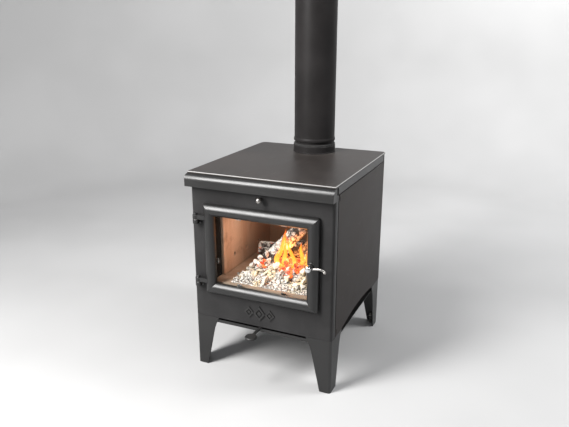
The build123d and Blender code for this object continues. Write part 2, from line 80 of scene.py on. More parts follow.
class Finish:
    # one material and the nodes that make it
    def __init__(self, name):
        self.material = bpy.data.materials.new(name)
        self.material.use_nodes = True
        self.tree = self.material.node_tree
        self.tree.nodes.clear()

    def node(self, kind, settings=None, sockets=None, out=0):
        # settings are the node's own properties; a wire is linked to its socket, a value is set on it
        made = self.tree.nodes.new(kind)
        for key, value in (settings or {}).items():
            if key == "stops":
                self.fillRamp(made.color_ramp.elements, value)
            else:
                setattr(made, key, value)
        for key, value in (sockets or {}).items():
            if isinstance(value, Wire):
                self.tree.links.new(value.out, made.inputs[key])
            else:
                made.inputs[key].default_value = value
        return Wire(self, made.outputs[out]) if len(made.outputs) else made

    def fillRamp(self, elements, stops):
        while len(elements) < len(stops):
            elements.new(1.0)
        for element, (place, colour) in zip(elements, stops):
            element.position = place
            element.color = (*colour, 1.0) if len(colour) == 3 else colour

    def place(self, stretch=(1, 1, 1)):
        # the object's own place, in metres, stretched along its axes
        spot = self.node("ShaderNodeTexCoord", out=3)
        return self.node("ShaderNodeMapping", None, {0: spot, 3: stretch})

    def split(self, axis):
        spot = self.node("ShaderNodeTexCoord", out=3)
        return self.node("ShaderNodeSeparateXYZ", None, {0: spot}, out="XYZ".index(axis))

    def noise(self, scale, detail=3.0, rough=0.55, stretch=(1, 1, 1), bend=0.0):
        return self.node("ShaderNodeTexNoise", None, {
            "Vector": self.place(stretch), "Scale": scale, "Detail": detail,
            "Roughness": rough, "Distortion": bend})

    def cells(self, scale, feature="F1", out=0):
        return self.node("ShaderNodeTexVoronoi", {"feature": feature}, {
            "Vector": self.place(), "Scale": scale}, out=out)

    def step(self, value, low, high, toLow=0.0, toHigh=1.0):
        # smooth step of a value between two levels
        return self.node("ShaderNodeMapRange", {"interpolation_type": "SMOOTHSTEP"}, {
            0: value, 1: low, 2: high, 3: toLow, 4: toHigh})

    def blend(self, mask, first, second):
        def coat(colour):
            return colour if isinstance(colour, Wire) else (*colour, 1.0)
        return self.node("ShaderNodeMix", {"data_type": "RGBA", "blend_type": "MIX"}, {
            0: mask, 6: coat(first), 7: coat(second)}, out=2)

    def bump(self, height, distance, strength=1.0, normal=None):
        links = {"Strength": strength, "Distance": distance, "Height": height}
        if normal is not None:
            links["Normal"] = normal
        return self.node("ShaderNodeBump", None, links)

    def surface(self, **sockets):
        # the Principled shader, its sockets named with underscores for spaces
        names = {key.replace("_", " "): value for key, value in sockets.items()}
        for key, value in names.items():
            if isinstance(value, tuple) and len(value) == 3:
                names[key] = (*value, 1.0)
        shell = self.node("ShaderNodeBsdfPrincipled", None, names)
        self.node("ShaderNodeOutputMaterial", None, {0: shell})
        return self.material


def ring(finish, centre):
    # distance from an upright axis, in metres
    a = finish.split("X") - centre[0]
    b = finish.split("Y") - centre[1]
    return (a * a + b * b) ** 0.5


def scaled(colour, factor):
    return tuple(c * factor for c in colour)


# ---- camera, floor and light

camera = {"place": (0.7928, -1.8183, 1.1457), "tilt": 72.525, "turn": 24.03, "lens": 37.39, "sensor": 36.0}
eye = bpy.data.objects.new("camera", bpy.data.cameras.new("camera"))
scene.collection.objects.link(eye)
eye.location = camera["place"]
eye.rotation_euler = (math.radians(camera["tilt"]), 0, math.radians(camera["turn"]))
eye.data.lens = camera["lens"]
eye.data.sensor_width = camera["sensor"]
scene.camera = eye
scene.view_settings.view_transform = "Standard"

# a round studio sweep: floor, bend and wall in one turned sheet
sweep = {"flatRings": (0.6, 1.4, 2.6), "bend": 0.9, "wallTop": 2.6, "sides": 96, "bendSteps": 14,
         "dark": (0.395, 0.395, 0.395), "light": (0.42, 0.42, 0.42), "clouds": 1.3}


def studioSweep():
    profile = [(r, 0.0) for r in sweep["flatRings"]]
    floorEdge = sweep["flatRings"][-1]
    for i in range(1, sweep["bendSteps"] + 1):
        a = math.pi / 2 * i / sweep["bendSteps"]
        profile.append((floorEdge + sweep["bend"] * math.sin(a), sweep["bend"] * (1 - math.cos(a))))
    profile.append((profile[-1][0], sweep["wallTop"]))
    mesh = bmesh.new()
    rows = []
    for r, z in profile:
        rows.append([mesh.verts.new((r * math.cos(t), r * math.sin(t), z))
                     for t in (2 * math.pi * k / sweep["sides"] for k in range(sweep["sides"]))])
    hub = mesh.verts.new((0, 0, 0))
    for k in range(sweep["sides"]):
        j = (k + 1) % sweep["sides"]
        mesh.faces.new((hub, rows[0][k], rows[0][j]))
        for low, high in zip(rows, rows[1:]):
            mesh.faces.new((low[k], high[k], high[j], low[j]))
    data = bpy.data.meshes.new("studioSweep")
    mesh.to_mesh(data)
    mesh.free()
    data.shade_smooth()
    made = bpy.data.objects.new("studioSweep", data)
    scene.collection.objects.link(made)
    f = Finish("studioPaper")
    clouds = f.step(f.noise(sweep["clouds"], 2.0), 0.35, 0.65)
    data.materials.append(f.surface(
        Base_Color=f.blend(clouds, sweep["dark"], sweep["light"]), Roughness=0.85))


studioSweep()

lamps = {
    # a tall soft lamp and a low one at the front left, two for the backdrop and floor, one inside
    "keyFront": {"place": (-0.95, -1.65, 2.15), "aim": (0.0, -0.1, 0.45), "size": 0.85, "tall": 2.1,
                 "watts": 136, "tint": (1.0, 0.99, 0.98)},
    "keyLow": {"place": (-1.25, -2.15, 1.45), "aim": (0.0, -0.1, 0.6), "size": 0.8,
               "watts": 26, "tint": (1.0, 0.99, 0.98)},
    "backdropRight": {"place": (1.0, 1.4, 2.5), "aim": (0.2, 3.5, 2.1), "size": 0.9,
                      "watts": 88, "tint": (1.0, 1.0, 1.0)},
    "floorRight": {"place": (1.7, 0.5, 2.4), "aim": (1.35, 0.8, 0.0), "size": 0.8,
                   "watts": 56, "tint": (1.0, 1.0, 1.0)},
    "hearthSoft": {"place": (-0.02, -0.115, 0.575), "aim": (0.01, 0.0, 0.33), "size": 0.14,
                   "watts": 0.40, "tint": (1.0, 0.93, 0.84)},
}
for name, lamp in lamps.items():
    light = bpy.data.lights.new(name, "AREA")
    light.shape = "ELLIPSE"
    light.size = lamp["size"]
    light.size_y = lamp.get("tall", lamp["size"])
    light.energy = lamp["watts"]
    light.color = lamp["tint"]
    holder = bpy.data.objects.new(name, light)
    holder.location = lamp["place"]
    aim = Vector(lamp["aim"]) - holder.location
    holder.rotation_euler = aim.to_track_quat("-Z", "Y").to_euler()
    holder.visible_camera = False
    scene.collection.objects.link(holder)

air = {"tint": (0.93, 0.95, 1.0, 1.0), "strength": 0.36}
world = bpy.data.worlds.new("studioAir")
world.use_nodes = True
background = world.node_tree.nodes["Background"]
background.inputs["Color"].default_value = air["tint"]
background.inputs["Strength"].default_value = air["strength"]
scene.world = world
print("stage: camera, sweep and lamps")


# ---- finishes of the metal parts

paint = {
    "casing": (0.0060, 0.0058, 0.0057), "hob": (0.019, 0.0160, 0.0145), "side": (0.0175, 0.0135, 0.0122),
    "front": (0.0215, 0.0210, 0.0212), "flue": (0.0125, 0.0115, 0.0115), "dust": (0.040, 0.038, 0.036),
    "patches": 5.5, "lift": 1.45, "specks": 950.0, "speckShare": 0.35, "scuffs": 38.0, "scuffShare": 0.10,
    "grain": 2600.0, "grainDepth": 0.000008, "peel": 420.0, "peelDepth": 0.00002}


def stovePaint(name, colour, rough, shine):
    # sprayed heatproof paint: fine stipple, broad patches, a little settled dust
    f = Finish(name)
    patches = f.noise(paint["patches"], 4.0, 0.6)
    specks = f.step(f.noise(paint["specks"], 1.0), 0.70, 0.78)
    scuffs = f.step(f.noise(paint["scuffs"], 5.0, 0.7, bend=1.2), 0.58, 0.72)
    tone = f.blend(f.step(patches, 0.35, 0.7), colour, scaled(colour, paint["lift"]))
    tone = f.blend(specks * paint["speckShare"], tone, paint["dust"])
    tone = f.blend(scuffs * paint["scuffShare"], tone, paint["dust"])
    peel = f.bump(f.noise(paint["peel"], 2.0, 0.5), paint["peelDepth"], 0.5)
    skin = f.bump(f.noise(paint["grain"], 2.0, 0.6), paint["grainDepth"], 0.6, peel)
    return f.surface(Base_Color=tone, Roughness=rough + patches * 0.16 - scuffs * 0.05,
                     Normal=skin, Specular_IOR_Level=shine)


# the front, sides and flue are a little more matt than the door, rail and legs
casingPaint = stovePaint("casingPaint", paint["casing"], 0.29, 0.58)
# the side paint's warm brown tint is a painted reflection of the surroundings
sidePaint = stovePaint("sidePaint", paint["side"], 0.34, 0.13)
frontPaint = stovePaint("frontPaint", paint["front"], 0.34, 0.13)
fluePaint = stovePaint("fluePaint", paint["flue"], 0.40, 0.09)

hobMarks = {
    "patches": 6.0, "lift": 1.6, "haloInside": 0.079, "haloOutside": 0.125, "haloSpots": 30.0,
    "haloTone": (0.045, 0.041, 0.037), "scratches": 260.0, "scratchShare": 0.22,
    "scratchTone": (0.075, 0.070, 0.065), "arris": 0.0016, "crest": (0.0030, 0.0012), "arrisHighlightShare": 0.85,
    "arrisHighlightTone": (0.34, 0.335, 0.33), "grainDepth": 0.000008, "ripple": 300.0, "rippleDepth": 0.00003}


def hobSteelFinish():
    # hot plate: heat halo round the flue, brushed scratches, a painted highlight along the arris
    f = Finish("hobSteel")
    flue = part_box("flue_collar")
    axis = ((flue[0].x + flue[1].x) / 2, (flue[0].y + flue[1].y) / 2)
    patches = f.noise(hobMarks["patches"], 5.0, 0.62, bend=0.6)
    tone = f.blend(f.step(patches, 0.35, 0.68), paint["hob"], scaled(paint["hob"], hobMarks["lift"]))
    halo = f.step(ring(f, axis), hobMarks["haloInside"], hobMarks["haloOutside"], 1.0, 0.0)
    tone = f.blend(halo * f.noise(hobMarks["haloSpots"], 4.0) * 0.9, tone, hobMarks["haloTone"])
    scratches = f.step(f.noise(hobMarks["scratches"], 3.0, 0.6, (1.0, 0.03, 1.0)), 0.62, 0.72)
    tone = f.blend(scratches * hobMarks["scratchShare"], tone, hobMarks["scratchTone"])
    # painted highlight: the top arris along the front and the right is painted light
    low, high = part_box("hob_plate")
    across, depth, arris = f.split("X"), f.split("Y"), hobMarks["arris"]
    arrisHighlight = f.step(depth, low.y + arris, low.y + 2 * arris, 1.0, 0.0)
    arrisHighlight = arrisHighlight + f.step(across, high.x - 1.6 * arris, high.x - 0.8 * arris)
    crest = f.step(f.split("Z"), high.z - hobMarks["crest"][0], high.z - hobMarks["crest"][1])
    tone = f.blend(arrisHighlight * crest * hobMarks["arrisHighlightShare"], tone, hobMarks["arrisHighlightTone"])
    ripple = f.bump(f.noise(hobMarks["ripple"], 3.0, 0.5), hobMarks["rippleDepth"], 0.5)
    skin = f.bump(f.noise(paint["grain"], 2.0, 0.6), hobMarks["grainDepth"], 0.6, ripple)
    return f.surface(Base_Color=tone, Normal=skin, Specular_IOR_Level=0.35,
                     Roughness=0.36 + patches * 0.14 - scratches * 0.06)


hobSteel = hobSteelFinish()

soot = {"steel": (0.004, 0.0035, 0.003), "rust": (0.013, 0.008, 0.006), "black": (0.002, 0.0018, 0.0018),
        "clouds": 16.0, "patches": 60.0, "crust": 700.0, "crustDepth": 0.0004}


def fireboxFinish():
    # sooted plate inside the body
    f = Finish("fireboxSteel")
    cloud = f.noise(soot["clouds"], 5.0, 0.65, (1, 1, 0.6), 0.8)
    tone = f.blend(f.step(cloud, 0.42, 0.7), soot["steel"], soot["rust"])
    tone = f.blend(f.step(f.noise(soot["patches"], 4.0, 0.7), 0.40, 0.62), tone, soot["black"])
    return f.surface(Base_Color=tone, Roughness=0.62 + cloud * 0.3, Specular_IOR_Level=0.12,
                     Normal=f.bump(f.noise(soot["crust"], 4.0, 0.7), soot["crustDepth"], 0.7))


fireboxSteel = fireboxFinish()


casting = {"dark": (0.008, 0.008, 0.008), "light": (0.020, 0.019, 0.018), "clouds": 22.0,
           "grit": 620.0, "pits": 430.0, "depth": 0.00012}


def castIronFinish():
    # sand-cast skin: grit and small round pits
    f = Finish("castIron")
    grit = f.noise(casting["grit"], 3.0, 0.65)
    pits = f.cells(casting["pits"])
    cloud = f.noise(casting["clouds"], 4.0, 0.6)
    tone = f.blend(f.step(cloud, 0.4, 0.7), casting["dark"], casting["light"])
    return f.surface(Base_Color=tone, Roughness=0.42 + grit * 0.2,
                     Normal=f.bump(grit + pits * 0.6, casting["depth"], 0.8))


castIron = castIronFinish()

metals = {"polished": (0.72, 0.72, 0.73), "satin": (0.36, 0.345, 0.33), "tarnish": (0.62, 0.56, 0.50),
          "lines": 900.0, "lineDepth": 0.00001, "lineTone": 0.7, "smudges": 55.0}


def bareMetal(name, colour, rough, streak, tarnish):
    # turned or drawn metal: fine lines round it, a few smudges, a warm tarnish
    f = Finish(name)
    lines = f.noise(metals["lines"], 2.0, 0.6, (1.0, 0.08, 1.0))
    smudge = f.step(f.noise(metals["smudges"], 4.0, 0.6), 0.48, 0.72)
    dull = tuple(c * k for c, k in zip(colour, metals["tarnish"]))
    tone = f.blend(smudge * tarnish, colour, dull)
    tone = f.blend(f.step(lines, 0.5, 0.75) * streak, tone, scaled(colour, metals["lineTone"]))
    return f.surface(Base_Color=tone, Metallic=1.0, Roughness=rough + smudge * 0.14 + lines * 0.05,
                     Normal=f.bump(lines, metals["lineDepth"], 0.6))


polishedSteel = bareMetal("polishedSteel", metals["polished"], 0.07, 0.10, 0.25)
satinSteel = bareMetal("satinSteel", metals["satin"], 0.26, 0.30, 0.35)
print("stage: metal finishes")


# ---- bricks, boards, rope and glass

brickwork = {
    "light": (0.74, 0.50, 0.35), "mid": (0.60, 0.37, 0.245), "dark": (0.22, 0.115, 0.065),
    "fleck": (0.78, 0.62, 0.48), "soot": (0.020, 0.016, 0.014), "ledge": (0.150, 0.115, 0.083),
    "streaks": 26.0, "blotches": 17.0, "grit": 1500.0, "gritDepth": 0.0002, "coarse": 330.0,
    "coarseDepth": 0.0006, "pits": 240.0, "backDarkFrom": 0.045, "backDarkTo": 0.03, "lickedFrom": 0.56,
    "lickedTo": 0.68}


def firebrickFinish():
    # streaked tan slabs, darker towards the back, sooted towards the top, darker brown on top of the sill
    # next to the door
    f = Finish("firebrick")
    depth, height = f.split("Y"), f.split("Z")
    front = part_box("side_brick_left")[0].y
    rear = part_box("back_brick")[1].y
    streaks = f.noise(brickwork["streaks"], 4.0, 0.6, (1.0, 1.0, 0.07))
    blotch = f.noise(brickwork["blotches"], 5.0, 0.6)
    speckle = f.noise(brickwork["grit"], 2.0, 0.7)
    coarse = f.noise(brickwork["coarse"], 3.0, 0.65)
    tone = f.blend(f.step(streaks, 0.34, 0.66), brickwork["mid"], brickwork["light"])
    tone = f.blend(f.step(blotch, 0.52, 0.74) * 0.45, tone, brickwork["dark"])
    tone = f.blend(f.step(speckle, 0.60, 0.72) * 0.35, tone, brickwork["fleck"])
    tone = f.blend(f.step(coarse, 0.30, 0.42, 1.0, 0.0) * 0.40, tone, brickwork["dark"])
    # darker towards the back of the firebox
    darkerToBack = f.step(depth + streaks * 0.08, front + brickwork["backDarkFrom"], rear - brickwork["backDarkTo"])
    licked = f.step(height + blotch * 0.12, brickwork["lickedFrom"], brickwork["lickedTo"])
    tone = f.blend(darkerToBack * 0.85, tone, brickwork["dark"])
    tone = f.blend(licked * 0.30, tone, brickwork["soot"])
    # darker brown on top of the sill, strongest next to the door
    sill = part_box("sill_brick")
    ledge = f.step(height, sill[1].z - 0.001, sill[1].z + 0.004, 1.0, 0.0)
    nearDoor = f.step(depth, sill[0].y + 0.01, sill[0].y + 0.05, 1.0, 0.35)
    tone = f.blend(ledge * nearDoor, tone, brickwork["ledge"])
    pitting = f.step(f.cells(brickwork["pits"]), 0.0, 0.22, 0.0, 1.0)
    grit = f.bump(speckle, brickwork["gritDepth"], 0.5)
    skin = f.bump(coarse * 0.7 + pitting * 0.3, brickwork["coarseDepth"], 0.8, grit)
    return f.surface(Base_Color=tone, Roughness=0.86 + speckle * 0.1, Normal=skin)


firebrick = firebrickFinish()


board = {"dark": (0.34, 0.25, 0.15), "light": (0.56, 0.45, 0.30), "smoke": (0.045, 0.038, 0.033),
         "flakes": 210.0, "clouds": 14.0, "depth": 0.0005}


def vermiculiteFinish():
    # pressed flake board: each flake has its own shade, with smoke over them
    f = Finish("vermiculite")
    flakes = f.cells(board["flakes"], out=1)
    shade = f.node("ShaderNodeSeparateColor", None, {0: flakes})
    edge = f.cells(board["flakes"], "DISTANCE_TO_EDGE")
    cloud = f.noise(board["clouds"], 4.0, 0.6)
    tone = f.blend(shade, board["dark"], board["light"])
    tone = f.blend(f.step(cloud, 0.36, 0.66) * 0.85, tone, board["smoke"])
    return f.surface(Base_Color=tone, Roughness=0.55 + shade * 0.3,
                     Normal=f.bump(f.step(edge, 0.0, 0.12) + shade * 0.3, board["depth"], 0.8))


vermiculite = vermiculiteFinish()


rope = {"dark": (0.006, 0.006, 0.006), "light": (0.030, 0.029, 0.028), "stain": (0.050, 0.044, 0.038),
        "strands": 95.0, "fuzz": 1800.0, "stains": 30.0, "depth": 0.0007}


def ropeFinish():
    # plaited glass-fibre rope: two sets of slanting strands
    f = Finish("sealingRope")
    over, under = [f.node("ShaderNodeTexWave", {"wave_type": "BANDS", "bands_direction": "DIAGONAL"}, {
        "Vector": f.place((way, 1, 1)), "Scale": rope["strands"], "Distortion": 0.6, "Detail": 1.0})
        for way in (1, -1)]
    fuzz = f.noise(rope["fuzz"], 3.0, 0.7)
    tone = f.blend(over * under, rope["dark"], rope["light"])
    tone = f.blend(f.step(f.noise(rope["stains"], 4.0), 0.5, 0.75) * 0.4, tone, rope["stain"])
    return f.surface(Base_Color=tone, Roughness=0.9 - fuzz * 0.08,
                     Normal=f.bump(over * 0.6 + under * 0.6 + fuzz * 0.3, rope["depth"], 0.9))


sealingRope = ropeFinish()

pane = {"clear": 0.006, "cloudShare": 0.008, "edgeHaze": 0.03, "edge": 0.022, "insetX": 0.012,
        "insetZ": 0.01, "film": (0.10, 0.085, 0.07), "thickFilm": 0.7, "clouds": 9.0, "wisps": 45.0}


def glassFinish():
    # ceramic glass with a thin smoke film that thickens towards the edges
    f = Finish("stoveGlass")
    low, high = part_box("door_glass")
    across, height = f.split("X"), f.split("Z")
    left, right = low.x + pane["insetX"], high.x - pane["insetX"]
    foot, head = low.z + pane["insetZ"], high.z - pane["insetZ"]
    cloud = f.noise(pane["clouds"], 4.0, 0.6, (1, 1, 1.6))
    wisps = f.noise(pane["wisps"], 4.0, 0.65, (1, 1, 0.35))
    sides = f.step(across, left, left + pane["edge"], 1.0, 0.0) + f.step(across, right - pane["edge"], right)
    ends = f.step(height, foot, foot + pane["edge"], 1.0, 0.0) + f.step(height, head - pane["edge"], head)
    haze = (sides + ends) * wisps * pane["edgeHaze"]
    film = f.blend(f.step(cloud, 0.4, 0.7), pane["film"], scaled(pane["film"], pane["thickFilm"]))
    return f.surface(Base_Color=film, Roughness=0.05 + cloud * 0.06, Specular_IOR_Level=0.12,
                     Alpha=pane["clear"] + haze + f.step(cloud, 0.45, 0.8) * pane["cloudShare"])


stoveGlass = glassFinish()
print("stage: brick, board, rope and glass finishes")


# ---- the finish of every CAD node, by its slot in the record, with a few nodes more matt

slotFinish = {
    "casing_paint": casingPaint, "hob_steel": hobSteel, "flue_paint": fluePaint,
    "firebox_steel": fireboxSteel, "cast_iron": castIron, "firebrick": firebrick,
    "vermiculite": vermiculite, "stove_glass": stoveGlass, "sealing_rope": sealingRope,
    "polished_steel": polishedSteel, "satin_steel": satinSteel}
nodeFinish = {"side_panel_left": sidePaint, "side_panel_right": sidePaint, "front_panel": frontPaint,
              "flue_collar": fluePaint}
for part in frame["record"]["subparts"]:
    slots = nodes[part["node"]].data.materials
    slots.clear()
    slots.append(nodeFinish.get(part["node"], slotFinish[part["material_slot"]]))
print("stage: CAD nodes finished")


# ---- the fire: ash bed, chunks, embers, logs and flames

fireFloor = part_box("base_bricks")[1].z
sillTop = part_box("sill_brick")[1].z
sillFront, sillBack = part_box("sill_brick")[0].y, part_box("sill_brick")[1].y
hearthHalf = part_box("side_brick_right")[0].x
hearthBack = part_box("back_brick")[0].y


def addPiece(name, mesh, material, smooth=True):
    # everything in the fire rides on the stove itself
    data = bpy.data.meshes.new(name)
    bmesh.ops.recalc_face_normals(mesh, faces=mesh.faces)
    mesh.to_mesh(data)
    mesh.free()
    if smooth:
        data.shade_smooth()
    data.materials.append(material)
    made = bpy.data.objects.new(name, data)
    scene.collection.objects.link(made)
    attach(made, "stove")
    return made


def smoothStep(value, low, high):
    t = min(max((value - low) / (high - low), 0.0), 1.0)
    return t * t * (3 - 2 * t)


bed = {
    "front": sillFront + 0.017, "back": hearthBack - 0.003, "left": -0.126, "right": hearthHalf - 0.002,
    "rows": 110, "columns": 96, "rise": 0.042, "heapFront": (0.018, 0.115), "heapBack": (0.24, 0.40),
    "fallLeft": (0.050, 0.118), "fallRight": (0.10, 0.17), "film": 0.0006, "thin": 0.0035,
    "lump": 34, "lumpHeight": 0.0055, "crumb": 130, "crumbHeight": 0.0016, "ragged": 0.006, "seam": 0.0004}


def bedHeight(x, y):
    # top of the ash at a place: thin over the sill, heaped behind it, falling away to the left
    reach = y - sillFront
    heap = smoothStep(reach, *bed["heapFront"]) * (1 - 0.45 * smoothStep(reach, *bed["heapBack"]))
    width = 1 - 0.98 * smoothStep(-x, *bed["fallLeft"]) - 0.20 * smoothStep(x, *bed["fallRight"])
    lumps = noise.fractal(Vector((x * bed["lump"], y * bed["lump"], 1.7)), 1.0, 2.1, 4)
    crumbs = noise.fractal(Vector((x * bed["crumb"], y * bed["crumb"], 4.2)), 0.8, 2.0, 3)
    rough = lumps * bed["lumpHeight"] + crumbs * bed["crumbHeight"]
    thin = bed["thin"] * smoothStep(reach, 0.004, 0.03)
    rise = bed["rise"] * heap * width
    return sillTop + bed["film"] + thin + rise + rough * (0.25 + heap * width)


def ashBed(material):
    # a closed sheet: its underside lies on the sill and the base bricks
    mesh = bmesh.new()
    top, under = [], []
    for j in range(bed["rows"] + 1):
        y = bed["front"] + (bed["back"] - bed["front"]) * j / bed["rows"]
        floor = sillTop + 0.0002 if y < sillBack + 0.001 else fireFloor + bed["seam"]
        top.append([])
        under.append([])
        for i in range(bed["columns"] + 1):
            x = bed["left"] + (bed["right"] - bed["left"]) * i / bed["columns"]
            spot = y + (bed["ragged"] * noise.noise(Vector((x * 40, 0.0, 8.0))) if j == 0 else 0.0)
            z = floor + (bedHeight(x, spot) - floor) * smoothStep(x, bed["left"], bed["left"] + 0.02)
            z = floor + 0.0003 if j == 0 else max(z, floor + bed["seam"])
            top[j].append(mesh.verts.new((x, spot, z)))
            under[j].append(mesh.verts.new((x, spot, floor)))
    for j in range(bed["rows"]):
        for i in range(bed["columns"]):
            mesh.faces.new((top[j][i], top[j][i + 1], top[j + 1][i + 1], top[j + 1][i]))
            mesh.faces.new((under[j][i], under[j + 1][i], under[j + 1][i + 1], under[j][i + 1]))
    for j in range(bed["rows"]):
        mesh.faces.new((top[j][0], top[j + 1][0], under[j + 1][0], under[j][0]))
        mesh.faces.new((top[j][-1], under[j][-1], under[j + 1][-1], top[j + 1][-1]))
    for i in range(bed["columns"]):
        mesh.faces.new((top[0][i], under[0][i], under[0][i + 1], top[0][i + 1]))
        mesh.faces.new((top[-1][i], top[-1][i + 1], under[-1][i + 1], under[-1][i]))
    return addPiece("ashBed", mesh, material)


coalShape = {"jag": 0.35, "cuts": 9, "cutReach": (0.30, 0.75), "cutShare": 0.85}


def anyWay(rng):
    return Vector((rng.gauss(0, 1), rng.gauss(0, 1), rng.gauss(0, 1)))


def lump(mesh, rng, centre, size, squash, level, jag=coalShape["jag"]):
    # one broken coal: an icosphere pushed in and out, then cut flatter on random sides
    made = bmesh.ops.create_icosphere(mesh, subdivisions=level, radius=1.0)["verts"]
    shift = Vector((rng.uniform(-50, 50), rng.uniform(-50, 50), rng.uniform(-50, 50)))
    cuts = [(anyWay(rng).normalized(), rng.uniform(*coalShape["cutReach"])) for _ in range(coalShape["cuts"])]
    turn = Matrix.Rotation(rng.uniform(0, 6.28), 3, anyWay(rng))
    for v in made:
        p = v.co.copy()
        p *= 1 + jag * noise.noise(p * 1.7 + shift) + 0.5 * jag * noise.noise(p * 4.1 + shift)
        for side, reach in cuts:
            over = p.dot(side) - reach
            if over > 0:
                p -= side * over * coalShape["cutShare"]
        p = Vector((p.x * squash[0], p.y * squash[1], p.z * squash[2])) * size
        v.co = turn @ p + Vector(centre)


ash = {"pale": (0.74, 0.71, 0.65), "grey": (0.36, 0.335, 0.305), "cream": (0.68, 0.56, 0.34),
       "dark": (0.060, 0.052, 0.047), "dust": 420.0, "flakes": 170.0, "clouds": 24.0, "depth": 0.0009}


def ashFinish(name, darkness):
    # pale ash with cream clouds and burnt spots; every loose piece has its own shade
    f = Finish(name)
    piece = f.node("ShaderNodeNewGeometry", out=8)
    dust = f.noise(ash["dust"], 4.0, 0.7)
    flake = f.noise(ash["flakes"], 5.0, 0.70)
    warm = f.noise(ash["clouds"], 3.0)
    tone = f.blend(f.step(flake + piece * 0.3, 0.42, 0.85), ash["grey"], ash["pale"])
    tone = f.blend(f.step(warm, 0.50, 0.62) * 0.7, tone, ash["cream"])
    spots = flake * 0.7 + dust * 0.3 + piece * 0.18
    burnt = f.step(spots, 0.41 + darkness, 0.52 + darkness, 1.0, 0.0)
    tone = f.blend(burnt, tone, ash["dark"])
    return f.surface(Base_Color=tone, Roughness=0.95 - dust * 0.08,
                     Normal=f.bump(flake + dust * 0.5, ash["depth"], 0.9))


ashFine = ashFinish("ashFine", 0.0)
ashCoal = ashFinish("ashCoal", 0.025)
ashUnder = ashFinish("ashUnder", 0.10)


ember = {"dark": (0.045, 0.018, 0.012), "light": (0.30, 0.10, 0.055), "crust": 120.0, "cracks": 170.0,
         "heat": 85.0, "depth": 0.0012, "strength": 1.5,
         "glow": [(0.0, (0.02, 0.0, 0.0)), (0.35, (0.35, 0.012, 0.004)), (0.7, (0.95, 0.055, 0.010)),
                  (1.0, (1.0, 0.19, 0.035))]}


def emberFinish():
    # glowing coal: patches and cracks glow under a brown crust
    f = Finish("emberGlow")
    crust = f.noise(ember["crust"], 4.0, 0.7)
    cracks = f.step(f.cells(ember["cracks"], "DISTANCE_TO_EDGE"), 0.0, 0.25, 1.0, 0.0)
    heat = f.step(f.noise(ember["heat"], 4.0, 0.6) + cracks * 0.10, 0.36, 0.64)
    tone = f.blend(f.step(crust, 0.42, 0.6), ember["dark"], ember["light"])
    glow = f.node("ShaderNodeValToRGB", {"stops": ember["glow"]}, {0: heat})
    return f.surface(Base_Color=tone, Roughness=0.9, Emission_Color=glow, Emission_Strength=ember["strength"],
                     Normal=f.bump(crust + cracks, ember["depth"], 0.9))


emberGlow = emberFinish()


char = {"dark": (0.012, 0.011, 0.011), "light": (0.055, 0.047, 0.043), "frost": (0.72, 0.69, 0.64),
        "glow": (0.9, 0.09, 0.015), "cells": 62.0, "grain": 210.0, "frostSpots": 26.0, "glowSpots": 18.0,
        "depth": 0.0016}


def charFinish():
    # charred log: black checked skin with white ash on it, red in a few cracks
    f = Finish("charredWood")
    cells = f.cells(char["cells"], "DISTANCE_TO_EDGE")
    grain = f.noise(char["grain"], 4.0, 0.65)
    frost = f.step(f.noise(char["frostSpots"], 5.0, 0.62) + cells * 0.35, 0.46, 0.66)
    tone = f.blend(grain, char["dark"], char["light"])
    tone = f.blend(frost * f.step(grain, 0.32, 0.56), tone, char["frost"])
    glowing = f.step(cells, 0.0, 0.06, 1.0, 0.0) * f.step(f.noise(char["glowSpots"], 2.0), 0.55, 0.70)
    glow = f.blend(glowing, (0.0, 0.0, 0.0), char["glow"])
    return f.surface(Base_Color=tone, Roughness=0.82 + grain * 0.12, Emission_Color=glow,
                     Emission_Strength=1.0, Normal=f.bump(cells * 2.0 + grain * 0.4, char["depth"], 0.9))


charredWood = charFinish()
ashBed(ashUnder)
print("stage: ash bed")

# loose coals on the ash: a size is least + spread * chance ** power
coals = {
    "ashCrumbs": {"count": 300, "across": (-0.125, 0.158), "reach": (0.018, 0.19), "least": 0.0028,
                  "spread": 0.0047, "power": 1.0, "sink": 0.45, "squash": ((0.6, 1), (0.5, 0.9)),
                  "level": 1, "jag": 0.35},
    "ashCoals": {"count": 135, "across": (-0.112, 0.155), "reach": (0.036, 0.23), "least": 0.0055,
                 "spread": 0.0125, "power": 1.7, "sink": 0.4, "squash": ((0.55, 1), (0.5, 0.95)),
                 "level": 2, "jag": 0.5},
}
coalSeed = 41


def scatterCoals():
    rng = random.Random(coalSeed)
    for name, kind in coals.items():
        mesh = bmesh.new()
        for _ in range(kind["count"]):
            x = rng.uniform(*kind["across"])
            y = sillFront + rng.uniform(*kind["reach"])
            size = kind["least"] + kind["spread"] * rng.random() ** kind["power"]
            squash = (1, *(rng.uniform(*span) for span in kind["squash"]))
            lump(mesh, rng, (x, y, bedHeight(x, y) + size * kind["sink"]), size, squash,
                 kind["level"], kind["jag"])
        addPiece(name, mesh, ashCoal, smooth=False)


scatterCoals()

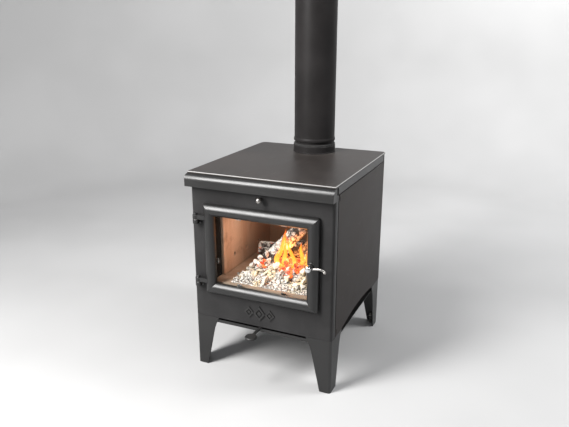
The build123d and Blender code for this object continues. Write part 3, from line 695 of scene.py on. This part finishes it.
heaps = {
    # x, reach behind the sill's face, height of the middle, size
    "paleHeap": [
        (-0.114, 0.042, 0.329, 0.009), (-0.101, 0.050, 0.336, 0.012), (-0.104, 0.066, 0.340, 0.011),
        (-0.088, 0.056, 0.346, 0.012), (-0.090, 0.078, 0.354, 0.012), (-0.074, 0.062, 0.352, 0.013),
        (-0.078, 0.086, 0.366, 0.013), (-0.062, 0.060, 0.350, 0.014), (-0.064, 0.092, 0.380, 0.013),
        (-0.048, 0.082, 0.374, 0.012), (-0.052, 0.104, 0.392, 0.012), (-0.036, 0.070, 0.358, 0.012),
        (-0.034, 0.112, 0.402, 0.013), (-0.020, 0.100, 0.388, 0.014), (-0.012, 0.074, 0.356, 0.012),
        (0.004, 0.086, 0.368, 0.013), (0.016, 0.096, 0.378, 0.014), (0.112, 0.086, 0.372, 0.014),
        (0.130, 0.094, 0.382, 0.016), (0.144, 0.104, 0.392, 0.015), (0.146, 0.074, 0.364, 0.014),
        (0.100, 0.060, 0.352, 0.012), (0.126, 0.062, 0.352, 0.012), (0.152, 0.058, 0.348, 0.011)],
    "emberHeap": [
        (-0.046, 0.090, 0.372, 0.012), (-0.034, 0.086, 0.368, 0.011), (-0.058, 0.094, 0.364, 0.010),
        (-0.040, 0.100, 0.382, 0.010), (0.034, 0.090, 0.370, 0.013), (0.048, 0.084, 0.366, 0.014),
        (0.062, 0.080, 0.364, 0.013), (0.056, 0.094, 0.378, 0.014), (0.074, 0.086, 0.370, 0.014),
        (0.088, 0.088, 0.372, 0.013), (0.070, 0.074, 0.356, 0.011), (0.084, 0.098, 0.382, 0.013),
        (0.100, 0.096, 0.380, 0.012), (0.040, 0.106, 0.386, 0.014), (0.020, 0.120, 0.384, 0.015),
        (0.050, 0.124, 0.390, 0.016), (0.080, 0.124, 0.392, 0.015), (0.052, 0.070, 0.352, 0.008)]}


def heapOf(name, material, seed):
    rng = random.Random(seed)
    mesh = bmesh.new()
    for x, reach, z, size in heaps[name]:
        squash = (1, rng.uniform(0.7, 1), rng.uniform(0.6, 0.9))
        lump(mesh, rng, (x, sillFront + reach, z), size, squash, 3)
    return addPiece(name, mesh, material, smooth=False)


heapOf("paleHeap", ashFine, 7)
heapOf("emberHeap", emberGlow, 19)
print("stage: coals and embers")

logs = {
    # both ends of the axis (x, reach, z), radius at each end, seed
    "leaningLog": {"ends": [(-0.058, 0.135, 0.352), (0.078, 0.175, 0.505)],
                   "radius": (0.026, 0.024), "seed": 3},
    "backLog": {"ends": [(-0.115, 0.215, 0.372), (0.120, 0.235, 0.392)],
                "radius": (0.030, 0.034), "seed": 5},
    "rightLog": {"ends": [(0.160, 0.090, 0.392), (0.070, 0.240, 0.405)],
                 "radius": (0.021, 0.026), "seed": 8},
}
logShape = {"rings": 110, "sides": 72, "sag": 0.006, "endRound": 0.010, "checks": 1.9, "checksAlong": 1.5,
            "checkWidth": 0.16, "checkDepth": 0.11, "endShares": (0.7, 0.4, 0.15), "endRough": 0.003}


def burntLog(name):
    spec = logs[name]
    a, b = [Vector((x, sillFront + reach, z)) for x, reach, z in spec["ends"]]
    along = (b - a).normalized()
    side = along.cross(Vector((0, 1, 0.2))).normalized()
    up = along.cross(side).normalized()
    length = (b - a).length
    shift = Vector((spec["seed"] * 3.1, 0.7, spec["seed"] * 1.9))
    mesh = bmesh.new()
    rows = []
    for j in range(logShape["rings"] + 1):
        t = j / logShape["rings"]
        middle = a.lerp(b, t) + up * logShape["sag"] * math.sin(math.pi * t)
        base = spec["radius"][0] * (1 - t) + spec["radius"][1] * t
        end = min(t, 1 - t) * length
        shrink = min(1.0, 0.55 + 0.45 * math.sqrt(min(end / logShape["endRound"], 1.0)))
        row = []
        for k in range(logShape["sides"]):
            angle = 2 * math.pi * k / logShape["sides"]
            spoke = side * math.cos(angle) + up * math.sin(angle)
            flat = Vector((math.cos(angle), math.sin(angle), t * length / base * 0.55)) + shift
            # checks: a crack where two char cells meet, longer along the grain than across
            cell = Vector((flat.x * logShape["checks"], flat.y * logShape["checks"],
                           flat.z * logShape["checksAlong"]))
            near = noise.voronoi(cell)[0]
            crack = smoothStep(near[1] - near[0], 0.0, logShape["checkWidth"])
            swell = 0.13 * noise.noise(flat * 0.9) + 0.05 * noise.noise(flat * 3.3)
            r = base * shrink * (0.90 + swell + logShape["checkDepth"] * crack)
            row.append(mesh.verts.new(middle + spoke * r))
        rows.append(row)
    for low, high in zip(rows, rows[1:]):
        for k in range(logShape["sides"]):
            j = (k + 1) % logShape["sides"]
            mesh.faces.new((low[k], low[j], high[j], high[k]))
    for row, out in ((rows[0], -1), (rows[-1], 1)):
        inner = row
        centre = sum((v.co for v in row), Vector()) / logShape["sides"]
        for ringShare in logShape["endShares"]:
            spot = centre * 90 + Vector((ringShare * 9, 0, 0))
            dent = along * out * logShape["endRough"] * noise.noise(spot)
            inside = [mesh.verts.new(centre + (v.co - centre) * ringShare + dent
                                     + along * logShape["endRough"] * noise.noise(v.co * 160)) for v in row]
            for k in range(logShape["sides"]):
                j = (k + 1) % logShape["sides"]
                mesh.faces.new((inner[k], inner[j], inside[j], inside[k]))
            inner = inside
        mesh.faces.new(inner)
    return addPiece(name, mesh, charredWood)


for name in logs:
    burntLog(name)
print("stage: logs")

flames = {
    # points up the middle of each tongue (x, reach, z), widest half width, thinness
    "flameLeft": {
        "path": [(0.012, 0.110, 0.372), (0.004, 0.112, 0.395),
                 (0.020, 0.116, 0.432), (0.034, 0.120, 0.498)],
        "width": 0.0100, "thin": 0.5},
    "flameMiddle": {
        "path": [(0.028, 0.104, 0.374), (0.036, 0.106, 0.408),
                 (0.036, 0.110, 0.440), (0.037, 0.112, 0.508)],
        "width": 0.0080, "thin": 0.45},
    "flameRight": {
        "path": [(0.074, 0.108, 0.372), (0.068, 0.110, 0.398),
                 (0.052, 0.114, 0.430), (0.040, 0.118, 0.474)],
        "width": 0.0078, "thin": 0.45},
    "flameBase": {
        "path": [(0.000, 0.100, 0.386), (0.026, 0.098, 0.374),
                 (0.056, 0.098, 0.374), (0.100, 0.104, 0.396)],
        "width": 0.0085, "thin": 0.6},
    "flameFarRight": {
        "path": [(0.092, 0.120, 0.376), (0.096, 0.122, 0.396),
                 (0.088, 0.124, 0.424), (0.092, 0.126, 0.462)],
        "width": 0.0085, "thin": 0.45},
    "flameSmall": {
        "path": [(0.112, 0.110, 0.384), (0.116, 0.112, 0.398),
                 (0.110, 0.113, 0.412), (0.113, 0.114, 0.430)],
        "width": 0.0060, "thin": 0.5},
    "flameTop": {
        "path": [(0.036, 0.205, 0.500), (0.060, 0.200, 0.520),
                 (0.084, 0.200, 0.520), (0.104, 0.205, 0.502)],
        "width": 0.0080, "thin": 0.5},
    "flameEdge": {
        "path": [(0.120, 0.200, 0.440), (0.122, 0.200, 0.462),
                 (0.114, 0.200, 0.486), (0.112, 0.200, 0.512)],
        "width": 0.0075, "thin": 0.45},
}
flameShape = {"rows": 48, "sides": 18, "twist": 0.9, "lean": 0.62, "fullness": 0.85, "sway": 0.004,
              "strength": 1.5, "licks": 70.0, "base": (0.6, 0.2, 0.05),
              "warm": [(0.0, (1.0, 0.20, 0.02)), (0.18, (1.0, 0.46, 0.06)), (0.45, (1.0, 0.27, 0.015)),
                       (0.75, (1.0, 0.30, 0.02)), (1.0, (0.85, 0.07, 0.01))]}


def flameFinish():
    # clear glowing gas: yellow above the root, redder and thinner at the tip
    f = Finish("flameGlow")
    rise = f.node("ShaderNodeAttribute", {"attribute_name": "rise"}, out=2)
    lick = f.noise(flameShape["licks"], 3.0, 0.6, (1.0, 1.0, 0.30), 0.6)
    warm = f.node("ShaderNodeValToRGB", {"stops": flameShape["warm"]}, {0: rise + lick * 0.3 - 0.15})
    body = f.step(rise, 0.0, 0.10) * f.step(rise, 0.80, 1.0, 1.0, 0.35)
    return f.surface(Base_Color=flameShape["base"], Roughness=1.0, Specular_IOR_Level=0.0,
                     Emission_Color=warm, Emission_Strength=flameShape["strength"],
                     Alpha=body * (0.38 + f.step(lick, 0.35, 0.65) * 0.42))


flameGlow = flameFinish()


def smoothPath(points, share):
    # a point on the curve through the points
    spots = [points[0] * 2 - points[1], *points, points[-1] * 2 - points[-2]]
    place = share * (len(points) - 1)
    i = min(int(place), len(points) - 2)
    t = place - i
    a, b, c, d = spots[i:i + 4]
    return 0.5 * ((2 * b) + (c - a) * t + (2 * a - 5 * b + 4 * c - d) * t * t
                  + (3 * b - 3 * c + d - a) * t * t * t)


def flameTongue(name, seed):
    spec = flames[name]
    points = [Vector((x, sillFront + reach, z)) for x, reach, z in spec["path"]]
    mesh = bmesh.new()
    layer = mesh.verts.layers.float.new("rise")
    rows = []
    for j in range(1, flameShape["rows"]):
        t = j / flameShape["rows"]
        middle = smoothPath(points, t)
        ahead, behind = smoothPath(points, min(t + 0.02, 1.0)), smoothPath(points, max(t - 0.02, 0.0))
        along = (ahead - behind).normalized()
        side = along.cross(Vector((0, 1, 0))).normalized()
        depth = along.cross(side).normalized()
        twist = flameShape["twist"] * noise.noise(Vector((t * 2.2, seed, 0.0)))
        swell = math.sin(math.pi * t ** flameShape["lean"]) ** flameShape["fullness"]
        r = spec["width"] * swell * (1 + 0.25 * noise.noise(Vector((t * 5, seed, 3.0))))
        sway = side * flameShape["sway"] * noise.noise(Vector((t * 3.4, seed * 1.7, 9.0)))
        row = []
        for k in range(flameShape["sides"]):
            angle = 2 * math.pi * k / flameShape["sides"] + twist
            bulge = 1 + 0.18 * noise.noise(Vector((math.cos(angle), math.sin(angle) + seed, t * 6)))
            spoke = side * math.cos(angle) + depth * math.sin(angle) * spec["thin"]
            made = mesh.verts.new(middle + sway + spoke * r * bulge)
            made[layer] = t
            row.append(made)
        rows.append(row)
    for low, high in zip(rows, rows[1:]):
        for k in range(flameShape["sides"]):
            j = (k + 1) % flameShape["sides"]
            mesh.faces.new((low[k], low[j], high[j], high[k]))
    for row, tip, share in ((rows[0], points[0], 0.0), (rows[-1], points[-1], 1.0)):
        end = mesh.verts.new(tip)
        end[layer] = share
        for k in range(flameShape["sides"]):
            mesh.faces.new((row[k], row[(k + 1) % flameShape["sides"]], end))
    return addPiece(name, mesh, flameGlow)


for number, name in enumerate(flames):
    flameTongue(name, 1.3 + number * 2.1)
print("stage: flames")

# the fire's own light inside the firebox
fireLamp = {"place": (0.045, sillFront + 0.13, 0.43), "watts": 1.5, "tint": (1.0, 0.36, 0.10), "size": 0.05}
glowLight = bpy.data.lights.new("fireLight", "POINT")
glowLight.energy = fireLamp["watts"]
glowLight.color = fireLamp["tint"]
glowLight.shadow_soft_size = fireLamp["size"]
glowHolder = bpy.data.objects.new("fireLight", glowLight)
glowHolder.location = fireLamp["place"]
scene.collection.objects.link(glowHolder)
